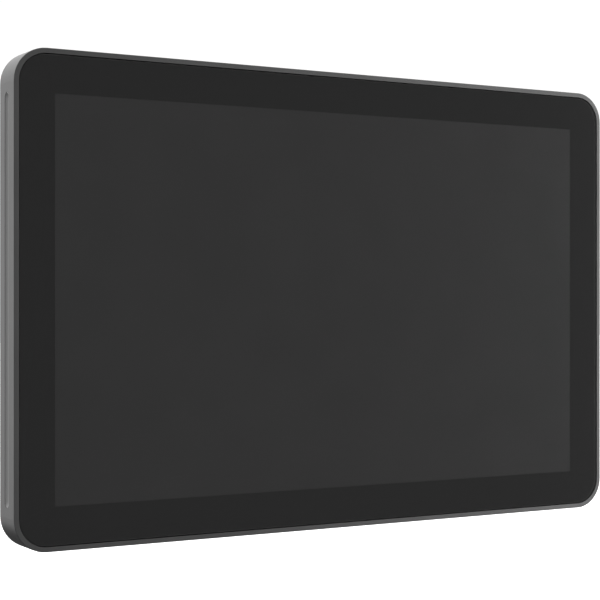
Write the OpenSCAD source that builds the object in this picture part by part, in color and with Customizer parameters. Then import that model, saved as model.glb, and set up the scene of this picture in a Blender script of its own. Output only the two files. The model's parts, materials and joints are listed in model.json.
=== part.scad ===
// Wall or stand mounted touchscreen kiosk terminal, 10.1 inch, 16:10.
// Frame: origin at the centre of the square mount pattern on the rear face.
// The screen faces -Y, +Z is up, and +X is the viewer's right. Millimetres.

/* [Body] */
// Overall width
body_w = 246.2; // [246.2:0.2:256]
// Overall height
body_h = 164.8; // [164.8:0.2:172]
// Depth of the metal frame that shows round the screen
frame_d = 13.4; // [13.2:0.1:14]
// Radius of the frame's outer corners
corner_r = 11.3; // [10.3:0.2:12.9]
// Width of the metal rim in front of the glass edge
rim_w = 1.7; // [1.5:0.1:2]
// Thickness of the frame's side wall
wall_t = 2.7; // [2.5:0.1:2.8]

/* [Screen] */
// Width of the lit area
screen_w = 217; // [210:0.5:217]
// Height of the lit area
screen_h = 135.6; // [130:0.2:135.6]
// Thickness of the cover glass
glass_t = 1.8; // [1.6:0.1:1.8]
// Gap between the glass edge and the rim
glass_gap = 0.2; // [0.1:0.05:0.3]

/* [Side light slots] */
// Width of the slot, front to back
slot_w = 3.8; // [3.4:0.1:4]
// Length of the slot, end to end
slot_len = 135.8; // [120:0.2:135.8]
// Depth from the frame's side to the diffuser
slot_depth = 1.0; // [0.6:0.1:1.4]

/* [Rear housing] */
// Width of the raised rear housing
hump_w = 190; // [188:1:194]
// Depth of the raised rear housing behind the frame
hump_d = 14.6; // [14.6:0.1:16]
// Wall thickness of the rear housing
hump_wall = 2.2; // [2:0.1:2.4]
// Radius of the rear housing's corners
hump_r = 12; // [8:1:14]

/* [Mount] */
// Hole spacing of the square mount pattern, both ways
mount_pitch = 75; // [75:1:76]
// Radius of the mount's thread bore
mount_bore_r = 2.0; // [1.6:0.1:2.1]

/* [Controls] */
// Radius of the power button
power_r = 3.4; // [3:0.1:3.6]
// Radius of each volume button
volume_r = 2.6; // [2.2:0.1:2.8]
// Travel of every button
button_travel = 0.6; // [0.4:0.1:0.6]

/* [Port bay] */
// Width of the recess that holds the plugs
bay_w = 128; // [126:1:130]
// Thickness of the bay's hinged door
door_t = 2.0; // [1.8:0.1:2]
// Radius of the door's hinge pin
pin_r = 1.0; // [0.9:0.1:1.1]

/* [Hidden] */
$fn = 64;
fit = 0.05;             // clearance round a screw or insert in its hole
touch = 0.02;           // bite that makes one solid of two neighbours

// Depth stations along Y, from the glass to the mount face
front_y = -(frame_d + hump_d);
glass_front_y = front_y + 0.1;
glass_back_y = glass_front_y + glass_t;
mask_t = 0.1;
sensor_t = 0.3;
tape_t = 0.4;
ledge_t = 1.2;
mask_back_y = glass_back_y + mask_t;
sensor_back_y = mask_back_y + sensor_t;
ledge_front_y = mask_back_y + tape_t;
ledge_back_y = ledge_front_y + ledge_t;
lcd_front_y = sensor_back_y + 0.1;
lcd_lip_t = 0.3;
cell_t = 1.2;
sheets_t = 0.8;
guide_t = 1.4;
tray_t = 0.5;
cell_back_y = lcd_front_y + lcd_lip_t + cell_t;
sheets_back_y = cell_back_y + sheets_t;
guide_back_y = sheets_back_y + guide_t;
lcd_back_y = guide_back_y + tray_t;
chassis_front_y = lcd_back_y + 1.8;
chassis_t = 1.0;
chassis_back_y = chassis_front_y + chassis_t;
frame_back_y = -hump_d;
plate_t = 1.8;
plate_front_y = frame_back_y - plate_t;
board_t = 1.6;
board_front_y = chassis_back_y + 2.6;
board_back_y = board_front_y + board_t;
cavity_back_y = -hump_wall;

// Glass and frame openings
glass_w = body_w - 2 * (rim_w + glass_gap);
glass_h = body_h - 2 * (rim_w + glass_gap);
glass_r = corner_r - rim_w - glass_gap;
inner_w = body_w - 2 * wall_t;
inner_h = body_h - 2 * wall_t;
inner_r = corner_r - wall_t;
ledge_in = 2.9;
rim_ease = 0.15;        // broken edge at the front of the frame
frame_back_ease = 0.2;  // broken edge at its back
glass_ease = 0.1;       // broken edge at the glass front
print_inset = 0.2;      // the print stops short of the glass edge
tape_inset = 0.5;       // so does the tape
tape_lip = 0.3;         // and the tape stops short of the ledge's inner edge
sensor_margin = 5.5;    // touch sensor's border outside the lit area
sensor_w = screen_w + 2 * sensor_margin;
sensor_h = screen_h + 2 * sensor_margin;
ledge_w = inner_w - 2 * ledge_in;
ledge_h = inner_h - 2 * ledge_in;

// Display module
lcd_w = 229.4;
lcd_h = 149;
lcd_skin = 0.3;
lcd_in_w = lcd_w - 2 * lcd_skin;
lcd_in_h = lcd_h - 2 * lcd_skin;
lcd_corner_r = 0.8;
cell_size = [224, 143];
sheet_size = [222, 141];
guide_size = [222, 138];
guide_z = 2.2;          // the light guide sits above its lamps
lcd_board_t = 0.8;

// Slot in the chassis plate that the display's ribbon passes through
flex_slot_z = -57;
flex_slot_half_w = 12;
flex_slot_half_h = 3;

// Touch controller board, as [X, Z] corners
touch_board_low = [66, -72];
touch_board_high = [90, -60];
touch_board_t = 0.6;

// Frame lugs: cover screws outside and in the middle, chassis screws between
lug_r = 2.5;
lug_z = inner_h / 2 - 2.6;
cover_lug_x = [-100, 0, 100];
chassis_lug_x = [-62, 62];
screw_r = 1.0;
clear_r = 1.2;          // clearance hole of the same screw
screw_head_r = 1.7;
screw_head_t = 1.0;
chassis_screw_len = 4.6;
board_screw_len = 3.9;
sink_screw_len = 5.4;
speaker_screw_len = 4.4;
cover_screw_len = 6;

// Side light slots
slot_y = front_y + frame_d / 2;
diffuser_flange_t = 0.8;
diffuser_flange_w = 4.9;

// Rear housing
hump_top = 56;
hump_bottom = -68;
hump_h = hump_top - hump_bottom;
hump_z = (hump_top + hump_bottom) / 2;
hump_edge = 1.2;
cover_gap = 0.2;
cover_w = inner_w - 2 * cover_gap;
cover_h = inner_h - 2 * cover_gap;

// Port bay and its ceiling, which the sockets look through
ceiling_low = -44;
ceiling_t = 1.8;
ceiling_top = ceiling_low + ceiling_t;
socket_gap = 0.15;

// Sockets, by the X of each centre; every size is [width, depth in Y, length in Z]
ethernet_x = -22;
ethernet_size = [16, 11.4, 16];
usb_a_x = [-4, 12];
usb_a_size = [13.2, 5.8, 14];
usb_c_x = 26;
usb_c_size = [9, 3.3, 9];
power_x = 50;
power_size = [9, 9.4, 14];
audio_x = -50;
audio_size = [6.6, 5.2, 12];
ethernet_mouth_w = 11.9;
ethernet_depth = 12;
usb_a_depth = 11;
usb_c_depth = 7;
jack_depth = 10;
power_bore_r = 3.2;
power_pin_r = 1.05;
audio_bore_r = 1.8;

// Main board
board_w = 144;
board_low = -42;
board_top = 48;
standoff_at = [[-68, -38], [68, -38], [-68, 44], [68, 44], [0, 44]];
sink_z = 4;
sink_w = 52;
sink_h = 48;
sink_hole_x = 22.5;
sink_hole_z = 20;
sink_base_t = 1.8;
processor_w = 22;
chip_t = 1.6;
pad_t = 0.6;
sink_front_y = board_back_y + chip_t + pad_t;
module_at = [52, 27];
module_lift = 2;        // from the main board's rear face to the card
module_t = 0.8;
module_back_y = board_back_y + module_lift + module_t;
coax_x = 6;
coax_z = 13.4;
cell_at = [-57, -8];
cell_seat_y = board_back_y + 0.6;
coin_r = 10;
coin_t = 3.2;

// Square mount
boss_r = 4.8;
boss_front_y = -10.2;
insert_r = 2.8;
insert_len = 9;

// Blank rating label, in a shallow recess
label_x = [-73, -49];
label_half = 20;
label_recess = 0.3;

// Speakers
speaker_x = 83.5;
speaker_w = 15;
speaker_low = -46;
speaker_top = -2;
speaker_ear = 6;
speaker_ear_half = 4;
speaker_ear_t = 2;
speaker_back_y = cavity_back_y - 0.6;
speaker_front_y = speaker_back_y - 9.6;
speaker_post_back_y = -6;
cone_z = [speaker_low + 12, speaker_top - 12];
cone_pocket_y = speaker_back_y - 3;
cone_pocket_r = 6.4;
speaker_screw_z = [speaker_low - 3, speaker_top + 3];

// Buttons, on the +X wall of the rear housing
button_y = -8.7;
power_z = 35;
volume_z = [23.5, 14];
cap_out = 0.6;
cap_len = 4.2;
cap_ease = 0.4;
collar_extra = 0.9;
collar_t = 0.8;
button_gap = 0.1;       // round a button in its hole, and behind the wall
switch_board_x = hump_w / 2 - 10;
switch_board_t = 1;
switch_board_low = 7.5;
switch_board_top = 42;
switch_board_front_y = -12.4;
switch_board_back_y = -5;
switch_slot_front_y = -12.7;
switch_slot_back_y = -4.6;

// Security cable slot, on the -X wall, as [width, length]
lock_z = 33;
lock_slot = [3, 7];

// Port door, hinge and magnets
axis_y = -2.4;
axis_z = -46.4;
knuckle_r = 2.2;
cover_knuckles = [[-58, -47], [-5.5, 5.5], [47, 58]];
door_knuckles = [[-46.7, -35.7], [-16.8, -5.8], [5.8, 16.8], [35.7, 46.7]];
door_w = bay_w - 0.8;
door_back_y = -0.2;
door_front_y = door_back_y - door_t;
door_low = hump_bottom + 0.4;
door_high = axis_z - 2.4;
magnet_r = 2.5;
magnet_t = 1.5;
magnet_at = [[-58, -62], [58, -62]];
magnet_gap = 0.4;
magnet_cup_r = 3.4;
door_magnet_front_y = door_front_y - 1.8;
keeper_back_y = door_magnet_front_y - magnet_gap;
rib_t = 2;              // rib that ties a keeper's post to the bay's side wall
grip_w = 22;
grip_r = 5;
grip_depth = 0.8;

// ---------- shared shapes ----------

// Rectangle with round corners, centred
module round_rect(w, h, r) {
    square([w - 2 * r, h], center = true);
    square([w, h - 2 * r], center = true);
    for (x = [-1, 1], y = [-1, 1])
        translate([x * (w / 2 - r), y * (h / 2 - r)]) circle(r = r);
}

// Upright slab with round corners between two depths
module slab(w, h, r, y0, y1) {
    translate([0, y1, 0]) rotate([90, 0, 0]) linear_extrude(y1 - y0) round_rect(w, h, r);
}

// Slab whose outline draws in by c between y0 and y1, towards +Y
module draft_slab(w, h, r, y0, y1) {
    c = y1 - y0;
    for (x = [-1, 1], z = [-1, 1])
        translate([x * (w / 2 - r), y0, z * (h / 2 - r)]) rotate([-90, 0, 0])
            cylinder(h = c, r1 = r, r2 = r - c);
    rotate([90, 0, 90]) linear_extrude(w - 2 * r, center = true)
        polygon([[y0, -h / 2], [y1, c - h / 2], [y1, h / 2 - c], [y0, h / 2]]);
    linear_extrude(h - 2 * r, center = true)
        polygon([[-w / 2, y0], [w / 2, y0], [w / 2 - c, y1], [c - w / 2, y1]]);
}

// Upright slab with both outer edges broken
module eased_slab(w, h, r, y0, y1, front_c, back_c) {
    slab(w, h, r, y0 + front_c, y1 - back_c);
    if (back_c > 0) draft_slab(w, h, r, y1 - back_c, y1);
    if (front_c > 0)
        translate([0, y0, 0]) mirror([0, 1, 0]) draft_slab(w, h, r, -front_c, 0);
}

// Box between two corners
module block(low, high) {
    translate(low) cube(high - low);
}

// Cylinder along Y at x, z
module rod(x, z, y0, y1, r) {
    translate([x, y0, z]) rotate([-90, 0, 0]) cylinder(h = y1 - y0, r = r);
}

// Cylinder along X at y, z
module bar(y, z, x0, x1, r) {
    translate([x0, y, z]) rotate([0, 90, 0]) cylinder(h = x1 - x0, r = r);
}

// Slot shape lying along Z, cut through a side wall between two X
module side_slot(y, z, x0, x1, w, len) {
    for (s = [-1, 1]) bar(y, z + s * (len - w) / 2, x0, x1, w / 2);
    block([x0, y - w / 2, z - (len - w) / 2], [x1, y + w / 2, z + (len - w) / 2]);
}

// Pan head screw along Y whose head rests on seat_y and whose shank runs forward
module screw(x, z, seat_y, len, r = screw_r, head_r = screw_head_r, head_t = screw_head_t) {
    difference() {
        union() {
            rod(x, z, seat_y - len, seat_y + touch, r);
            rod(x, z, seat_y, seat_y + head_t, head_r);
        }
        translate([x, seat_y + head_t * 0.4, z]) rotate([-90, 0, 0])
            cylinder(h = head_t, r = head_r * 0.5, $fn = 6);
    }
}

// Chip lying on the main board's rear face
module chip(x, z, w, h, t) {
    block([x - w / 2, board_back_y, z - h / 2], [x + w / 2, board_back_y + t, z + h / 2]);
}

function unit(v) = v / norm(v);
function at(p, i) = p[max(0, min(i, len(p) - 1))];
function heading(p, i) = unit(at(p, i + 1) - at(p, i - 1));
function across(t) = unit(cross(t, abs(t[2]) > 0.8 ? [1, 0, 0] : [0, 0, 1]));

// Point at fraction u of the smooth curve between points i and i + 1
function on_curve(p, i, u) =
    let (a = at(p, i - 1), b = at(p, i), c = at(p, i + 1), d = at(p, i + 2))
        b + u * (c - a) / 2 + u * u * (a - 2.5 * b + 2 * c - d / 2)
        + u * u * u * (3 * b - a - 3 * c + d) / 2;

function smooth(p, steps = 3) = [
    for (i = [0:len(p) - 2], k = [0:steps - 1]) on_curve(p, i, k / steps),
    p[len(p) - 1]
];

// Wire of radius r along a smooth curve through the points
module wire(points, r, sides = 6) {
    p = smooth(points);
    rings = [
        for (i = [0:len(p) - 1])
            let (t = heading(p, i), u = across(t), v = cross(t, u))
                for (k = [0:sides - 1])
                    p[i] + r * (cos(360 * k / sides) * u + sin(360 * k / sides) * v)
    ];
    last = (len(p) - 1) * sides;
    skin = [
        for (i = [0:len(p) - 2], k = [0:sides - 1])
            let (a = i * sides + k, b = i * sides + (k + 1) % sides)
                each [[a, a + sides, b], [b, a + sides, b + sides]]
    ];
    ends = [[for (k = [0:sides - 1]) k], [for (k = [sides - 1:-1:0]) last + k]];
    polyhedron(rings, concat(skin, ends));
}

// ---------- front: frame, glass and light slots ----------

module housing_frame() {
    color([0.27, 0.27, 0.28]) difference() {
        union() {
            difference() {
                eased_slab(body_w, body_h, corner_r, front_y, frame_back_y,
                           rim_ease, frame_back_ease);
                slab(body_w - 2 * rim_w, body_h - 2 * rim_w, corner_r - rim_w,
                     front_y - 1, ledge_front_y);
                slab(ledge_w, ledge_h, inner_r - ledge_in, front_y - 1, ledge_back_y + 1);
                slab(inner_w, inner_h, inner_r, ledge_back_y, frame_back_y + 1);
            }
            for (x = cover_lug_x, s = [-1, 1]) lug(x, s, plate_front_y);
            for (x = chassis_lug_x, s = [-1, 1]) lug(x, s, chassis_front_y);
        }
        for (x = cover_lug_x, s = [-1, 1])
            rod(x, s * lug_z, ledge_back_y, plate_front_y + 1, screw_r + fit);
        for (x = chassis_lug_x, s = [-1, 1])
            rod(x, s * lug_z, ledge_back_y, chassis_front_y + 1, screw_r + fit);
        for (s = [-1, 1])
            side_slot(slot_y, 0, s * (body_w / 2 - wall_t / 2) - wall_t,
                      s * (body_w / 2 - wall_t / 2) + wall_t, slot_w, slot_len);
    }
}

// Threaded lug that joins the ledge, standing off the frame's top or bottom wall
module lug(x, s, back_y) {
    root = inner_h / 2 + 0.5;
    rod(x, s * lug_z, ledge_back_y - 0.5, back_y, lug_r);
    block([x - lug_r, ledge_back_y - 0.5, min(s * lug_z, s * root)],
          [x + lug_r, back_y, max(s * lug_z, s * root)]);
}

module cover_glass() {
    color([0.05, 0.05, 0.05, 0.4])
        eased_slab(glass_w, glass_h, glass_r, glass_front_y, glass_back_y, glass_ease, 0);
}

// Black print behind the glass, open over the lit area
module border_mask() {
    color([0.02, 0.02, 0.02]) difference() {
        slab(glass_w - 2 * print_inset, glass_h - 2 * print_inset, glass_r - print_inset,
             glass_back_y, mask_back_y);
        block([-screen_w / 2, glass_back_y - 1, -screen_h / 2],
              [screen_w / 2, mask_back_y + 1, screen_h / 2]);
    }
}

module touch_sensor() {
    color([0.12, 0.12, 0.13])
        slab(sensor_w, sensor_h, 1, mask_back_y, sensor_back_y);
}

module glass_tape() {
    color([0.05, 0.05, 0.05]) difference() {
        slab(glass_w - 2 * tape_inset, glass_h - 2 * tape_inset, glass_r - tape_inset,
             mask_back_y, ledge_front_y);
        slab(ledge_w + 2 * tape_lip, ledge_h + 2 * tape_lip, inner_r - ledge_in + tape_lip,
             mask_back_y - 1, ledge_front_y + 1);
    }
}

// Frosted bars that line the side slots: hollowed faces, and a flange behind the wall
module light_diffusers() {
    face_x = body_w / 2 - 0.1;
    sag = slot_depth - 0.1;
    lip = 0.15;
    bar_w = slot_w - 0.1;
    bar_len = slot_len - 0.1;
    half = bar_w / 2 - lip;
    hollow_r = (half * half + sag * sag) / (2 * sag);
    hollow_x = face_x - sag + hollow_r;
    straight = bar_len - bar_w;
    wall_in = inner_w / 2;
    color([0.75, 0.76, 0.78]) for (s = [-1, 1]) mirror([s < 0 ? 1 : 0, 0, 0]) {
        difference() {
            side_slot(slot_y, 0, wall_in - touch, face_x, bar_w, bar_len);
            translate([hollow_x, slot_y, 0]) {
                cylinder(h = straight, r = hollow_r, center = true);
                for (z = [-1, 1]) translate([0, 0, z * straight / 2]) sphere(r = hollow_r);
            }
        }
        side_slot(slot_y, 0, wall_in - diffuser_flange_t, wall_in, diffuser_flange_w, slot_len + 2);
    }
}

// One thin board with a row of lamps behind each diffuser
module led_strips() {
    lamp_gap = 0.3;
    lamp_out = inner_w / 2 - diffuser_flange_t - lamp_gap;
    lamp_t = 0.8;
    lamp_w = 2.8;
    lamp_len = 3.5;
    lamps = 16;
    lamp_pitch = 8.4;
    strip_t = 1;
    strip_w = 5.2;
    strip_half = 67;
    color([0.85, 0.85, 0.8]) for (s = [-1, 1]) mirror([s < 0 ? 1 : 0, 0, 0]) {
        block([lamp_out - lamp_t - strip_t, ledge_back_y, -strip_half],
              [lamp_out - lamp_t, ledge_back_y + strip_w, strip_half]);
        for (i = [0:lamps - 1])
            translate([lamp_out - lamp_t / 2 - touch, slot_y, (i - (lamps - 1) / 2) * lamp_pitch])
                cube([lamp_t, lamp_w, lamp_len], center = true);
    }
}

// ---------- display module ----------

module lcd_bezel() {
    color([0.62, 0.63, 0.64]) difference() {
        slab(lcd_w, lcd_h, lcd_corner_r, lcd_front_y, lcd_back_y);
        slab(lcd_in_w, lcd_in_h, lcd_corner_r - lcd_skin, lcd_front_y + lcd_lip_t, lcd_back_y + 1);
        block([-screen_w / 2 - 1, lcd_front_y - 1, -screen_h / 2 - 1],
              [screen_w / 2 + 1, lcd_front_y + 1, screen_h / 2 + 1]);
    }
}

// One flat layer of the display, of size [width, height]
module lcd_layer(size, y0, y1, z = 0) {
    block([-size[0] / 2, y0, z - size[1] / 2], [size[0] / 2, y1, z + size[1] / 2]);
}

module lcd_cell() {
    color([0.1, 0.1, 0.11]) lcd_layer(cell_size, lcd_front_y + lcd_lip_t, cell_back_y);
}

module optical_sheets() {
    color([0.93, 0.93, 0.9]) lcd_layer(sheet_size, cell_back_y, sheets_back_y);
}

module light_guide() {
    color([0.8, 0.85, 0.88]) lcd_layer(guide_size, sheets_back_y, guide_back_y, guide_z);
}

module backlight_led_bar() {
    lamps = 20;
    pitch = 10.8;
    lamp_z = -68.2;
    lamp_size = [4, 0.8, 1.3];
    strip_size = [218, 1];
    strip_z = lamp_z - 1.1;
    color([0.9, 0.88, 0.7]) {
        lcd_layer(strip_size, sheets_back_y, guide_back_y, strip_z);
        for (i = [0:lamps - 1])
            translate([(i - (lamps - 1) / 2) * pitch, (sheets_back_y + guide_back_y) / 2, lamp_z])
                cube(lamp_size, center = true);
    }
}

module lcd_rear_tray() {
    gap = 0.1;
    r = 0.6;
    color([0.7, 0.71, 0.72])
        slab(lcd_in_w - 2 * gap, lcd_in_h - 2 * gap, r, guide_back_y, lcd_back_y);
}

module lcd_driver_board() {
    half = 96;
    low = -72;
    top = -61;
    face_y = lcd_back_y + lcd_board_t;
    chip_back_y = lcd_back_y + 1.5;
    chip_x = [-70, -30, 10, 50];
    chip_w = 14;
    color([0.08, 0.32, 0.18]) {
        block([-half, lcd_back_y, low], [half, face_y, top]);
        for (x = chip_x)
            block([x, face_y - touch, low + 3], [x + chip_w, chip_back_y, top - 4]);
    }
}

// Foam squares that press the display forward from the chassis plate
module foam_pads() {
    half = 6;
    columns = [-100, -40, 40, 100];
    rows = [-48, 0, 48];
    color([0.15, 0.15, 0.16]) for (x = columns, z = rows)
        block([x - half, lcd_back_y, z - half], [x + half, chassis_front_y, z + half]);
}

// ---------- chassis and electronics ----------

module chassis_plate() {
    half_w = 113;
    half_h = 73.5;
    tab_half = 6;
    tab_root = 70;
    tab_tip = lug_z + 2.2;
    relief_x = 72;
    relief_z = 24;
    relief_r = 8;
    color([0.74, 0.75, 0.76]) difference() {
        union() {
            block([-half_w, chassis_front_y, -half_h], [half_w, chassis_back_y, half_h]);
            for (x = chassis_lug_x, s = [-1, 1])
                block([x - tab_half, chassis_front_y, min(s * tab_root, s * tab_tip)],
                      [x + tab_half, chassis_back_y, max(s * tab_root, s * tab_tip)]);
        }
        for (x = chassis_lug_x, s = [-1, 1])
            rod(x, s * lug_z, chassis_front_y - 1, chassis_back_y + 1, clear_r);
        block([-flex_slot_half_w, chassis_front_y - 1, flex_slot_z - flex_slot_half_h],
              [flex_slot_half_w, chassis_back_y + 1, flex_slot_z + flex_slot_half_h]);
        for (x = [-1, 1], z = [-1, 1])
            rod(x * relief_x, z * relief_z, chassis_front_y - 1, chassis_back_y + 1, relief_r);
    }
}

module chassis_screws() {
    color("silver") for (x = chassis_lug_x, s = [-1, 1])
        screw(x, s * lug_z, chassis_back_y, chassis_screw_len);
}

module board_standoffs() {
    standoff_r = 2.7;
    color([0.78, 0.72, 0.5]) for (p = standoff_at) difference() {
        translate([p[0], chassis_back_y, p[1]]) rotate([-90, 0, 0])
            cylinder(h = board_front_y - chassis_back_y, r = standoff_r, $fn = 6);
        rod(p[0], p[1], chassis_back_y - 1, board_front_y + 1, screw_r + fit);
    }
}

module main_board() {
    hole_r = 1.3;
    color([0.05, 0.28, 0.16]) difference() {
        block([-board_w / 2, board_front_y, board_low], [board_w / 2, board_back_y, board_top]);
        for (p = standoff_at) rod(p[0], p[1], board_front_y - 1, board_back_y + 1, hole_r);
        for (x = [-1, 1], z = [-1, 1])
            rod(x * sink_hole_x, sink_z + z * sink_hole_z, board_front_y - 1, board_back_y + 1, clear_r);
    }
}

module board_screws() {
    color("silver") for (p = standoff_at) screw(p[0], p[1], board_back_y, board_screw_len);
}

module processor() {
    color([0.12, 0.12, 0.13]) chip(0, sink_z, processor_w, processor_w, chip_t);
}

module thermal_pad() {
    color([0.45, 0.6, 0.75])
        translate([0, chip_t, 0]) chip(0, sink_z, processor_w, processor_w, pad_t);
}

module heat_sink() {
    fins = 9;
    pitch = 4.2;
    fin_t = 1.1;
    fin_back_y = -4;
    base_back_y = sink_front_y + sink_base_t;
    color([0.25, 0.25, 0.27]) difference() {
        union() {
            block([-sink_w / 2, sink_front_y, sink_z - sink_h / 2],
                  [sink_w / 2, base_back_y, sink_z + sink_h / 2]);
            for (i = [0:fins - 1]) {
                x = (i - (fins - 1) / 2) * pitch;
                block([x - fin_t / 2, base_back_y - touch, sink_z - sink_h / 2],
                      [x + fin_t / 2, fin_back_y, sink_z + sink_h / 2]);
            }
        }
        for (x = [-1, 1], z = [-1, 1])
            rod(x * sink_hole_x, sink_z + z * sink_hole_z, sink_front_y - 1, base_back_y + 1, clear_r);
    }
}

module heat_sink_screws() {
    color("silver") for (x = [-1, 1], z = [-1, 1])
        screw(x * sink_hole_x, sink_z + z * sink_hole_z, sink_front_y + sink_base_t, sink_screw_len);
}

module memory_chips() {
    x = -38;
    w = 11;
    h = 13;
    t = 1.1;
    color([0.1, 0.1, 0.1]) for (z = [20, 4, -12]) chip(x, z, w, h, t);
}

module shield_can() {
    x = -57;
    z = 28;
    w = 24;
    h = 18;
    t = 2.8;
    color([0.78, 0.78, 0.76]) chip(x, z, w, h, t);
}

// Square core on a wider foot
module poe_transformer() {
    x = 56;
    z = -12;
    core_w = 17;
    core_t = 8.6;
    foot_w = 21;
    foot_h = 13;
    foot_t = 2.2;
    color([0.15, 0.14, 0.13]) {
        chip(x, z, core_w, core_w, core_t);
        chip(x, z, foot_w, foot_h, foot_t);
    }
}

module coin_cell_holder() {
    w = 24;
    h = 22;
    t = 3.6;
    gap = 0.2;
    color([0.1, 0.1, 0.1]) difference() {
        chip(cell_at[0], cell_at[1], w, h, t);
        rod(cell_at[0], cell_at[1], cell_seat_y, board_back_y + t + 1, coin_r + gap);
    }
}

module coin_cell() {
    color([0.8, 0.8, 0.78]) rod(cell_at[0], cell_at[1], cell_seat_y, cell_seat_y + coin_t, coin_r);
}

// Edge connector, the card in it, the card's shield and two aerial sockets
module wireless_module() {
    x = module_at[0];
    z = module_at[1];
    connector_t = 3.2;
    shield_t = 1.6;
    coax_r = 1.1;
    coax_t = 1.2;
    color([0.05, 0.2, 0.35]) {
        chip(x, z - 13, 20, 4, connector_t);
        translate([0, module_lift, 0]) chip(x, z + 2, 22, 30, module_t);
        translate([0, module_lift + module_t - touch, 0]) chip(x, z + 1, 15, 18, shield_t);
        for (s = [-1, 1])
            rod(x + s * coax_x, z + coax_z, module_back_y - touch, module_back_y + coax_t, coax_r);
    }
}

module touch_controller_board() {
    face_y = chassis_back_y + touch_board_t;
    chip_low = [74, -69];
    chip_high = [82, -62];
    case_t = 0.6;
    color([0.08, 0.32, 0.18]) {
        block([touch_board_low[0], chassis_back_y, touch_board_low[1]],
              [touch_board_high[0], face_y, touch_board_high[1]]);
        block([chip_low[0], face_y - touch, chip_low[1]],
              [chip_high[0], face_y + case_t, chip_high[1]]);
    }
}

// Ribbon from the touch sensor round the display's lower edge to its board
module touch_flex() {
    t = 0.2;
    x0 = 70;
    x1 = 86;
    low = -lcd_h / 2 - 1.6;
    front_back_y = sensor_back_y - 0.05;
    front_y0 = front_back_y - t;
    rear_y0 = chassis_back_y + t;
    rear_back_y = rear_y0 + t;
    color([0.85, 0.55, 0.2]) {
        block([x0, front_y0, low], [x1, front_back_y, -sensor_h / 2]);
        block([x0, front_y0, low], [x1, rear_back_y, low + t]);
        block([x0, rear_y0, low], [x1, rear_back_y, touch_board_low[1]]);
    }
}

// Ribbon from the display's board through the chassis slot to the main board
module display_flex() {
    t = 0.2;
    half = 9;
    start_z = -64;
    end_z = -38;
    plug_h = 3;
    start_y = lcd_back_y + lcd_board_t;
    run_y = chassis_back_y + 0.8;
    color([0.85, 0.55, 0.2]) {
        block([-half, start_y, start_z], [half, start_y + t, flex_slot_z + t]);
        block([-half, start_y, flex_slot_z], [half, run_y, flex_slot_z + t]);
        block([-half, run_y - t, flex_slot_z], [half, run_y, end_z]);
        block([-half, run_y - touch, end_z - plug_h], [half, board_front_y, end_z]);
    }
}

// ---------- wireless, sound and leads ----------

module antennas() {
    length = 32;
    low = 62;
    top = 71;
    t = 0.6;
    color([0.1, 0.1, 0.1]) for (x = [-62, 30])
        block([x, plate_front_y - t, low], [x + length, plate_front_y, top]);
}

module antenna_leads() {
    r = 0.5;
    low_y = plate_front_y - 0.8;
    end_y = module_back_y + 0.6;
    end_z = module_at[1] + coax_z + 1.3;
    color([0.15, 0.15, 0.15]) {
        wire([[29.9, low_y, 66], [26, low_y, 65], [23, low_y, 62], [22, low_y, 57.5],
              [22.5, low_y, 54], [25, -16.6, 51.2], [30, -13.2, 50.4], [37, -11, 49.6],
              [43, -10.8, 47.4], [module_at[0] - coax_x, end_y, end_z]], r);
        wire([[-29.9, low_y, 66], [-26, low_y, 65], [-23, low_y, 62], [-20, low_y, 57.5],
              [-16, low_y, 54], [-10, -16.4, 51.4], [0, -11.6, 50.8], [20, -8.2, 51.2],
              [40, -8, 50.8], [53, -9.4, 47.6], [module_at[0] + coax_x, end_y, end_z]], r);
    }
}

module speaker_boxes() {
    color([0.09, 0.09, 0.09]) for (s = [-1, 1]) difference() {
        union() {
            block([s * speaker_x - speaker_w / 2, speaker_front_y, speaker_low],
                  [s * speaker_x + speaker_w / 2, speaker_back_y, speaker_top]);
            block([s * speaker_x - speaker_ear_half, speaker_post_back_y - speaker_ear_t,
                   speaker_low - speaker_ear],
                  [s * speaker_x + speaker_ear_half, speaker_post_back_y,
                   speaker_top + speaker_ear]);
        }
        for (z = cone_z)
            rod(s * speaker_x, z, cone_pocket_y, speaker_back_y + 1, cone_pocket_r);
        for (z = speaker_screw_z)
            rod(s * speaker_x, z, speaker_post_back_y - speaker_ear_t - 1, speaker_post_back_y + 1,
                screw_r + 2 * fit);
    }
}

// Round driver with a rim, a sloping cone and a dust cap
module speaker_cones() {
    r = cone_pocket_r - 0.1;
    rim_t = 2.4;
    color([0.2, 0.2, 0.2]) for (s = [-1, 1], z = cone_z)
        translate([s * speaker_x, cone_pocket_y, z]) rotate([-90, 0, 0])
            rotate_extrude() polygon([[0, 0], [r, 0], [r, rim_t], [r - 0.9, rim_t],
                                      [4.6, 2], [2.4, 0.9], [1.2, 1.3], [0, 1.4]]);
}

module speaker_gaskets() {
    inset = 1;
    color([0.2, 0.2, 0.2]) for (s = [-1, 1]) difference() {
        block([s * speaker_x - speaker_w / 2, speaker_back_y, speaker_low],
              [s * speaker_x + speaker_w / 2, cavity_back_y, speaker_top]);
        block([s * speaker_x - speaker_w / 2 + inset, speaker_back_y - 1, speaker_low + inset],
              [s * speaker_x + speaker_w / 2 - inset, cavity_back_y + 1, speaker_top - inset]);
    }
}

module speaker_screws() {
    seat = speaker_post_back_y - speaker_ear_t;
    color("silver") for (s = [-1, 1], z = speaker_screw_z)
        translate([0, seat, 0]) mirror([0, 1, 0]) screw(s * speaker_x, z, 0, speaker_screw_len);
}

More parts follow.
